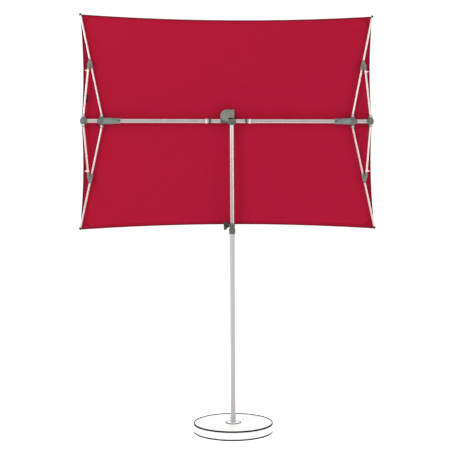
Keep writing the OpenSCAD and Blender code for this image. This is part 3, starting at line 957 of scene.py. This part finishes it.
class PARASOL_OT_stage(bpy.types.Operator):
    """Lay the floor and set the lights and the camera"""
    bl_idname = "parasol.stage"
    bl_label = "Stage"

    def execute(self, context):
        stage = sizes("stage")
        bm = bmesh.new()
        bmesh.ops.create_grid(bm, x_segments=2, y_segments=2, size=FLOOR_HALF_SIZE)
        mesh = bpy.data.meshes.new("floor")
        bm.to_mesh(mesh)
        bm.free()
        mesh.materials.append(finish_of("studio_floor"))
        floor = bpy.data.objects.new("floor", mesh)
        context.scene.collection.objects.link(floor)
        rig.stage(floor)
        floor.visible_glossy = False
        self.sky(context.scene)
        self.softbox("key_light", place=(-4.2, -4.2, 4.4), size=2.2, power=110)
        self.softbox("fill_light", place=(5.2, -3.2, 3.0), size=2.2, power=45)
        self.softbox("back_light", place=(0.5, 5.0, 4.5), size=3.0, power=75)
        camera = bpy.data.cameras.new("camera")
        camera.lens = stage.lens
        camera.clip_end = 200
        eye = bpy.data.objects.new("camera", camera)
        context.scene.collection.objects.link(eye)
        aim = (Matrix.Rotation(-stage.heading, 4, "Z")
               @ Matrix.Rotation(math.pi / 2 + stage.pitch, 4, "X")
               @ Matrix.Rotation(stage.roll, 4, "Z"))
        eye.matrix_world = Matrix.Translation(stage.place) @ aim
        context.scene.camera = eye
        context.scene.view_settings.view_transform = "Standard"
        return {"FINISHED"}

    def sky(self, scene):
        """White surroundings, darker behind the viewer so that tubes show their roundness."""
        world = bpy.data.worlds.new("studio")
        scene.world = world
        world.use_nodes = True
        sky = Nodes(world.node_tree)
        towards = sky.node("ShaderNodeTexCoord", output="Generated")
        beyond = sky.step(sky.axis(towards, 1), -0.80, -0.35)
        above = sky.step(sky.axis(towards, 2), 0.70, 0.95)
        light = sky.maths("MAXIMUM", beyond, above) * 0.72 + 0.31
        shown = sky.node("ShaderNodeLightPath", output="Is Camera Ray")
        back = sky.tree.nodes["Background"]
        sky.feed(back.inputs["Color"], WHITE)
        sky.feed(back.inputs["Strength"], sky.maths("MAXIMUM", light, shown))

    def softbox(self, name, place, size, power):
        """A square lamp that points at the middle of the roof."""
        data = bpy.data.lights.new(name, "AREA")
        data.size = size
        data.energy = power
        lamp = bpy.data.objects.new(name, data)
        bpy.context.scene.collection.objects.link(lamp)
        lamp.location = place
        lamp.rotation_euler = (SPINE - Vector(place)).to_track_quat("-Z", "Y").to_euler()


class PARASOL_OT_roof(bpy.types.Operator):
    """Stretch the roof cloth and sew its hem, tape, corner patches and seams"""
    bl_idname = "parasol.roof"
    bl_label = "Roof cloth"

    def execute(self, context):
        cloth = sizes("cloth")

        def place(u, v):
            point = roof_point(2 * u - 1, 2 * v - 1)
            return point, on_cloth(point)

        bm = cloth_grid(cloth.columns, cloth.rows, place)
        facing(bm, FRONT)
        roof = new_piece("roof_cloth", bm, "roof_cloth", "head", "roof_fabric")
        thicken(roof, CLOTH_THICKNESS)
        folded(roof)
        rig.replaces(roof, "canopy")
        hem = edge_band("roof_hem", "hem_cloth", cloth.hem, 0.0009)
        tape = edge_band("edge_tape", "binding_tape", cloth.tape, 0.0018, "selvage_tape")
        patches = [corner_patch(corner) for corner in CORNERS]
        hem_row = edge_stitches(cloth.hem - HEM_SEAM_INSET, 0.0016)
        seam = stitch_row("hem_stitches", hem_row)
        tape_row = edge_stitches(cloth.tape * TAPE_SEAM_SHARE, 0.0026)
        edge_seam = stitch_row("tape_stitches", tape_row)
        flat = (2 * ROOF_HALF_W, 2 * ROOF_HALF_H)
        area = flat[0] * flat[1] * CLOTH_SHARE
        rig.sheet(roof, flat=flat, area=area, held="stretched",
                 rests_on=["end_hub_left", "end_hub_right"],
                 with_pieces=[hem, tape, seam, edge_seam, *patches])
        return {"FINISHED"}


class PARASOL_OT_tubes(bpy.types.Operator):
    """Give the pole, mast, spine, ribs and struts their drawn and anodised finish"""
    bl_idname = "parasol.tubes"
    bl_label = "Tubes"

    def execute(self, context):
        dress("pole_lower", "pole_tube")
        dress("mast_upper", "upright_tube")
        dress("spine_tube", "level_tube")
        for corner in CORNERS:
            dress("rib_" + corner, "rib_tube")
            dress("strut_" + corner, "rib_tube")
        return {"FINISHED"}


class PARASOL_OT_fittings(bpy.types.Operator):
    """Mould the hubs, runners, yokes, caps and the clamp, and finish the small parts"""
    bl_idname = "parasol.fittings"
    bl_label = "Fittings"

    def execute(self, context):
        for node in ("hub_front", "hub_back"):
            moulded(node, "grey_plastic")
        moulded("pole_head", "hub_plastic")
        moulded("clamp_collar", "clamp_plastic")
        for side in SIDES:
            moulded("end_hub_" + side, "hub_plastic")
            moulded("runner_" + side, "hub_plastic")
            moulded("grip_" + side, "grip_plastic", edge=0.0005)
            moulded("release_button_" + side, "dark_plastic", edge=0.0008)
            dress("rib_pins_" + side, "plated_steel")
        for corner in CORNERS:
            moulded("yoke_" + corner, "grey_plastic")
            moulded("strut_tip_" + corner, "grey_plastic")
            moulded("corner_cap_" + corner, "dark_plastic")
            moulded("strut_hook_" + corner, "pale_plastic")
        for node in ("tilt_button", "end_caps"):
            moulded(node, "dark_plastic")
        moulded("clamp_knob", "knob_plastic", edge=0.0016, segments=3)
        moulded("spine_collars", "collar_plastic")
        moulded("stop_rings", "pale_plastic")
        moulded("tie_strap", "black_webbing", edge=0.0003, segments=1)
        for node in ("pole_foot_plug", "pole_bush", "mast_guide", "hub_screws"):
            dress(node, "dark_plastic")
        for node in ("clamp_rivet", "clamp_screw"):
            dress(node, "steel")
        dress("strut_pins", "plated_steel")
        return {"FINISHED"}


class PARASOL_OT_base(bpy.types.Operator):
    """Finish the slab, its rim, pad and socket"""
    bl_idname = "parasol.base"
    bl_label = "Base"

    def execute(self, context):
        dress("base_slab", "cast_stone")
        dress("socket_tube", "cast_stone")
        dress("base_pad", "foot_rubber")
        dress("base_rim", "foot_rubber")
        dress("socket_ring", "foot_rubber")
        return {"FINISHED"}


class PARASOL_PT_panel(bpy.types.Panel):
    """Parasol tools in the 3D view's sidebar"""
    bl_idname = "PARASOL_PT_panel"
    bl_label = "Parasol"
    bl_space_type = "VIEW_3D"
    bl_region_type = "UI"
    bl_category = "Parasol"

    def draw(self, context):
        for operator in OPERATORS:
            self.layout.operator(operator.bl_idname)
        for group in GROUPS:
            data = getattr(context.scene, "parasol_" + group)
            for prop in GROUPS[group].__annotations__:
                self.layout.prop(data, prop)


GROUPS = {
    "cloth": ParasolCloth,
    "fittings": ParasolFittings,
    "base": ParasolBase,
    "stage": ParasolStage,
}
OPERATORS = [
    PARASOL_OT_stage,
    PARASOL_OT_roof,
    PARASOL_OT_tubes,
    PARASOL_OT_fittings,
    PARASOL_OT_base,
]


def register():
    for item in [*GROUPS.values(), *OPERATORS, PARASOL_PT_panel]:
        bpy.utils.register_class(item)
    for name, group in GROUPS.items():
        setattr(bpy.types.Scene, "parasol_" + name, PointerProperty(type=group))


def unregister():
    for name in GROUPS:
        delattr(bpy.types.Scene, "parasol_" + name)
    for item in reversed([*GROUPS.values(), *OPERATORS, PARASOL_PT_panel]):
        bpy.utils.unregister_class(item)


def main():
    register()
    for operator in OPERATORS:
        group, name = operator.bl_idname.split(".")
        getattr(getattr(bpy.ops, group), name)()
    boxes = {"cad": CAD_BOX, "visual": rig.bounds()}
    with open(SIZE_FILE, "w") as out:
        json.dump({key: [list(corner) for corner in box] for key, box in boxes.items()}, out)


if __name__ == "__main__":
    main()
